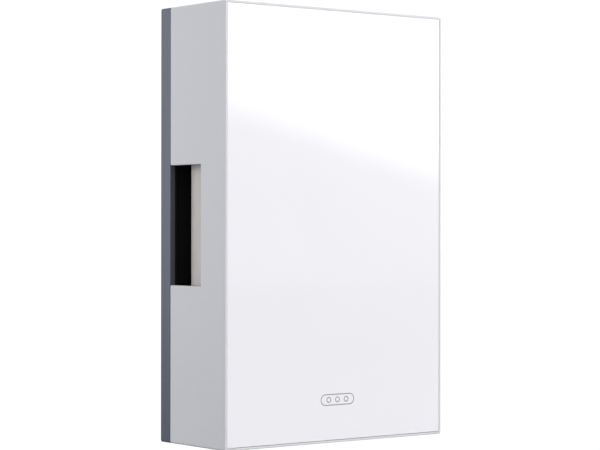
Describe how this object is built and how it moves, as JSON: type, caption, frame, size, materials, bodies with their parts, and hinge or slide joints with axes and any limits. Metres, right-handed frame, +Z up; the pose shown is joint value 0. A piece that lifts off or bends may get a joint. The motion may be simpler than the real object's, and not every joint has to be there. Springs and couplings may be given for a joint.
{
  "type": "two-tone door chime",
  "caption": "Wall-mounted wired two-tone door chime: white box cover with flush gloss front, side sound notches, grey base plate, solenoid striker and hung tone bars.",
  "frame": {"origin": "middle of the base plate's back face, on the wall", "axes": "+Z up the wall, +Y into the wall, -Y towards the room (the gloss front), +X to the right as seen from the room"},
  "size_m": [0.1274, 0.051, 0.2],
  "materials": {
    "cover_plastic": "fine matt white-grey moulded plastic",
    "panel_gloss": "high-gloss white, back-painted acrylic",
    "emblem_grey": "thin grey inlay",
    "base_plastic": "black moulded plastic with a fine matt slate-grey skin on its outer sides",
    "chassis_plastic": "black moulded plastic",
    "tape_foam": "grey bonding tape",
    "bar_steel": "nickel-plated, finely ground",
    "yoke_steel": "zinc-plated sheet",
    "screw_steel": "bright zinc-plated",
    "core_steel": "turned bright steel",
    "spring_steel": "drawn spring wire",
    "copper_wire": "enamelled copper winding",
    "brass": "drawn brass",
    "tin_pin": "tinned solder pin",
    "bobbin_nylon": "natural nylon",
    "tip_nylon": "white nylon",
    "terminal_plastic": "white moulded housing",
    "black_rubber": "black soft rubber",
    "keeper_steel": "blackened spring steel",
    "lead_red": "red wire insulation",
    "lead_blue": "blue wire insulation"
  },
  "bodies": {
    "base": {"base_plate": "base_plastic", "chassis_plate": "chassis_plastic", "chassis_screws": "screw_steel", "cable_grommet": "black_rubber", "terminal_block": "terminal_plastic", "terminal_clamps": "brass", "terminal_screws": "screw_steel", "terminal_block_screws": "screw_steel", "solenoid_yoke": "yoke_steel", "yoke_screws": "screw_steel", "coil_bobbin": "bobbin_nylon", "coil_winding": "copper_wire", "coil_pins": "tin_pin", "guide_sleeve": "brass", "coil_lead_left": "lead_red", "coil_lead_right": "lead_blue", "bar_retainers": "keeper_steel", "return_spring": "spring_steel"},
    "plunger": {"plunger_core": "core_steel", "striker_tip_left": "tip_nylon", "striker_tip_right": "tip_nylon"},
    "low_bar": {"tone_bar_low": "bar_steel", "bar_grommets_low": "black_rubber"},
    "high_bar": {"tone_bar_high": "bar_steel", "bar_grommets_high": "black_rubber"},
    "cover": {"cover_shell": "cover_plastic", "panel_tape": "tape_foam", "front_panel": "panel_gloss", "front_emblem": "emblem_grey"}
  },
  "joints": [
    {"name": "cover_pull", "type": "slide", "parent": "base", "child": "cover", "axis": [0, -1, 0], "range_m": [0, 0.055]},
    {"name": "plunger_slide", "type": "slide", "parent": "base", "child": "plunger", "axis": [1, 0, 0], "range_m": [-0.0074, 0.0029], "stiffness_N_per_m": 60, "deforming": ["return_spring"]},
    {"name": "low_bar_play", "type": "slide", "parent": "base", "child": "low_bar", "axis": [-1, 0, 0], "range_m": [0, 0.0008], "stiffness_N_per_m": 200},
    {"name": "high_bar_play", "type": "slide", "parent": "base", "child": "high_bar", "axis": [1, 0, 0], "range_m": [0, 0.0008], "stiffness_N_per_m": 200}
  ]
}
